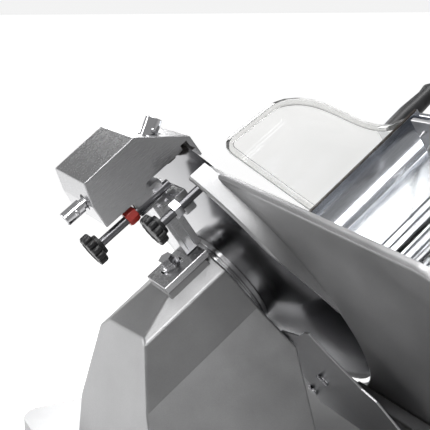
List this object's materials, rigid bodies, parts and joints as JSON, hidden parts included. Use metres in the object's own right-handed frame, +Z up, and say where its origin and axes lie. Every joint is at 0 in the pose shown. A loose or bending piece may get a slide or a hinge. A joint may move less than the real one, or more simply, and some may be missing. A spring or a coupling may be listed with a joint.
{
  "type": "deli meat slicer",
  "caption": "Gravity-feed food slicer with a tilted round blade, blade guard plate, hooded blade sharpener, sliding product carriage with clear hand guard, and thickness gauge plate",
  "frame": {"origin": "centre of the machine's bounding box, on the plane its rubber feet stand on", "axes": "+Z up, -Y towards the person using it, +Y to the rear, -X the product side with the carriage, +X the slice side"},
  "size_m": [0.579, 0.6418, 0.4545],
  "materials": {
    "base_body": "satin cast aluminium",
    "base_cover": "fine brushed",
    "foot_front_product": "black rubber",
    "foot_front_slice": "black rubber",
    "foot_rear_slice": "black rubber",
    "foot_rear_product": "black rubber",
    "control_panel": "black moulded plastic",
    "mains_gland": "black moulded plastic",
    "head_casting": "satin cast aluminium",
    "bearing_sleeve": "machined iron",
    "spindle_bearing": "bright chrome",
    "motor": "dark enamel",
    "drive_belt": "black rubber",
    "blade_cover": "fine brushed",
    "blade_guard": "satin cast aluminium",
    "guard_bracket": "satin cast aluminium",
    "slice_deflector": "satin sheet",
    "deflector_screw_upper": "fine brushed",
    "deflector_screw_lower": "fine brushed",
    "gauge_guide": "machined iron",
    "sharpener_foot": "polished aluminium",
    "foot_bolt": "bright chrome",
    "sharpener_arm": "polished aluminium",
    "sharpener_bonnet": "polished aluminium",
    "setting_nut": "bright chrome",
    "clamp_collar": "red",
    "grind_spring": "dark bright steel",
    "guide_rod": "bright chrome",
    "blade": "mirror polished",
    "blade_hub": "fine brushed",
    "blade_clamp_ring": "fine brushed",
    "spindle": "fine brushed",
    "blade_pulley": "machined iron",
    "motor_pulley": "machined iron",
    "thickness_dial": "black moulded plastic",
    "dial_cam_shaft": "dark bright steel",
    "gauge_plate": "polished aluminium",
    "gauge_carrier": "satin cast aluminium",
    "carriage_arm": "satin cast aluminium",
    "product_tray": "polished aluminium",
    "tray_fence": "polished aluminium",
    "hand_guard": "clear acrylic",
    "guard_strap": "fine brushed",
    "carriage_handle": "black moulded plastic",
    "pusher_bracket": "satin cast aluminium",
    "pusher_rod": "bright chrome",
    "pusher_collar": "satin cast aluminium",
    "pusher_arm": "satin cast aluminium",
    "pusher_plate": "fine brushed",
    "pusher_handle": "black moulded plastic",
    "grind_button": "bright chrome",
    "grinding_stone": "grey abrasive",
    "deburr_button": "bright chrome",
    "deburr_stone": "grey abrasive",
    "clamp_knob": "black moulded plastic",
    "clamp_rod": "dark bright steel",
    "setting_knob": "black moulded plastic",
    "setting_screw": "dark bright steel",
    "start_button": "green",
    "stop_button": "red"
  },
  "bodies": {
    "frame": {"base_body": "base_body", "base_cover": "base_cover", "foot_front_product": "foot_front_product", "foot_front_slice": "foot_front_slice", "foot_rear_slice": "foot_rear_slice", "foot_rear_product": "foot_rear_product", "control_panel": "control_panel", "mains_gland": "mains_gland", "head_casting": "head_casting", "bearing_sleeve": "bearing_sleeve", "spindle_bearing": "spindle_bearing", "motor": "motor", "drive_belt": "drive_belt", "blade_cover": "blade_cover", "blade_guard": "blade_guard", "guard_bracket": "guard_bracket", "slice_deflector": "slice_deflector", "deflector_screw_upper": "deflector_screw_upper", "deflector_screw_lower": "deflector_screw_lower", "gauge_guide": "gauge_guide", "sharpener_foot": "sharpener_foot", "foot_bolt": "foot_bolt", "sharpener_arm": "sharpener_arm", "sharpener_bonnet": "sharpener_bonnet", "setting_nut": "setting_nut", "clamp_collar": "clamp_collar", "grind_spring": "grind_spring", "guide_rod": "guide_rod"},
    "blade_unit": {"blade": "blade", "blade_hub": "blade_hub", "blade_clamp_ring": "blade_clamp_ring", "spindle": "spindle", "blade_pulley": "blade_pulley"},
    "motor_rotor": {"motor_pulley": "motor_pulley"},
    "dial": {"thickness_dial": "thickness_dial", "dial_cam_shaft": "dial_cam_shaft"},
    "gauge": {"gauge_plate": "gauge_plate", "gauge_carrier": "gauge_carrier"},
    "carriage": {"carriage_arm": "carriage_arm", "product_tray": "product_tray", "tray_fence": "tray_fence", "hand_guard": "hand_guard", "guard_strap": "guard_strap", "carriage_handle": "carriage_handle", "pusher_bracket": "pusher_bracket", "pusher_rod": "pusher_rod"},
    "pusher_slider": {"pusher_collar": "pusher_collar"},
    "pusher": {"pusher_arm": "pusher_arm", "pusher_plate": "pusher_plate", "pusher_handle": "pusher_handle"},
    "grinder": {"grind_button": "grind_button"},
    "grinder_wheel": {"grinding_stone": "grinding_stone"},
    "deburr_press": {"deburr_button": "deburr_button"},
    "deburr_wheel": {"deburr_stone": "deburr_stone"},
    "clamp_screw": {"clamp_knob": "clamp_knob", "clamp_rod": "clamp_rod"},
    "set_screw": {"setting_knob": "setting_knob", "setting_screw": "setting_screw"},
    "start_switch": {"start_button": "start_button"},
    "stop_switch": {"stop_button": "stop_button"}
  },
  "joints": [
    {"name": "blade_spin", "type": "hinge", "parent": "frame", "child": "blade_unit", "pos_m": [0.0961, -0.0569, 0.29], "axis": [0.809, 0, -0.5878], "continuous": true},
    {"name": "motor_spin", "type": "hinge", "parent": "frame", "child": "motor_rotor", "pos_m": [0.04026, -0.0419, 0.21314], "axis": [0.809, 0, -0.5878], "continuous": true},
    {"name": "dial_turn", "type": "hinge", "parent": "frame", "child": "dial", "pos_m": [0.0761, -0.3109, 0.045], "axis": [0, 1, 0], "range_deg": [0, 300]},
    {"name": "gauge_slide", "type": "slide", "parent": "frame", "child": "gauge", "axis": [0.809, 0, -0.5878], "range_m": [0, 0.015]},
    {"name": "carriage_slide", "type": "slide", "parent": "frame", "child": "carriage", "axis": [0, 1, 0], "range_m": [-0.13, 0.13]},
    {"name": "pusher_slide", "type": "slide", "parent": "carriage", "child": "pusher_slider", "axis": [0.809, 0, -0.5878], "range_m": [0, 0.2]},
    {"name": "pusher_swing", "type": "hinge", "parent": "pusher_slider", "child": "pusher", "pos_m": [-0.21244, 0.0691, 0.37573], "axis": [0.809, 0, -0.5878], "range_deg": [-100, 0]},
    {"name": "grind_press", "type": "slide", "parent": "frame", "child": "grinder", "axis": [-0.809, 0, 0.5878], "range_m": [0, 0.002], "stiffness_N_per_m": 400, "springref_m": -0.002},
    {"name": "grind_spin", "type": "hinge", "parent": "grinder", "child": "grinder_wheel", "pos_m": [0.19184, -0.0329, 0.41327], "axis": [0.809, 0, -0.5878], "continuous": true},
    {"name": "deburr_press_slide", "type": "slide", "parent": "frame", "child": "deburr_press", "axis": [0.3907, 0, -0.9205], "range_m": [0, 0.003], "stiffness_N_per_m": 400, "springref_m": -0.002},
    {"name": "deburr_stone_slide", "type": "slide", "parent": "frame", "child": "deburr_wheel", "axis": [0.809, 0, -0.5878], "range_m": [0, 0.00135]},
    {"name": "clamp_turn", "type": "hinge", "parent": "frame", "child": "clamp_screw", "pos_m": [0.22634, -0.0149, 0.36719], "axis": [0.809, 0, -0.5878], "range_deg": [-360, 360]},
    {"name": "setting_turn", "type": "hinge", "parent": "frame", "child": "set_screw", "pos_m": [0.19296, 0.0041, 0.37228], "axis": [0.809, 0, -0.5878], "range_deg": [-360, 360]},
    {"name": "start_press", "type": "slide", "parent": "frame", "child": "start_switch", "axis": [0, 1, 0], "range_m": [0, 0.003], "stiffness_N_per_m": 300, "springref_m": -0.002},
    {"name": "stop_press", "type": "slide", "parent": "frame", "child": "stop_switch", "axis": [0, 1, 0], "range_m": [0, 0.003], "stiffness_N_per_m": 300, "springref_m": -0.002}
  ],
  "couplings": [
    {"joint": "motor_spin", "follows": "blade_spin", "ratio": 1.6364},
    {"joint": "dial_turn", "follows": "gauge_slide", "rad_per_m": 349.06},
    {"joint": "deburr_stone_slide", "follows": "deburr_press_slide", "ratio": 0.45}
  ]
}
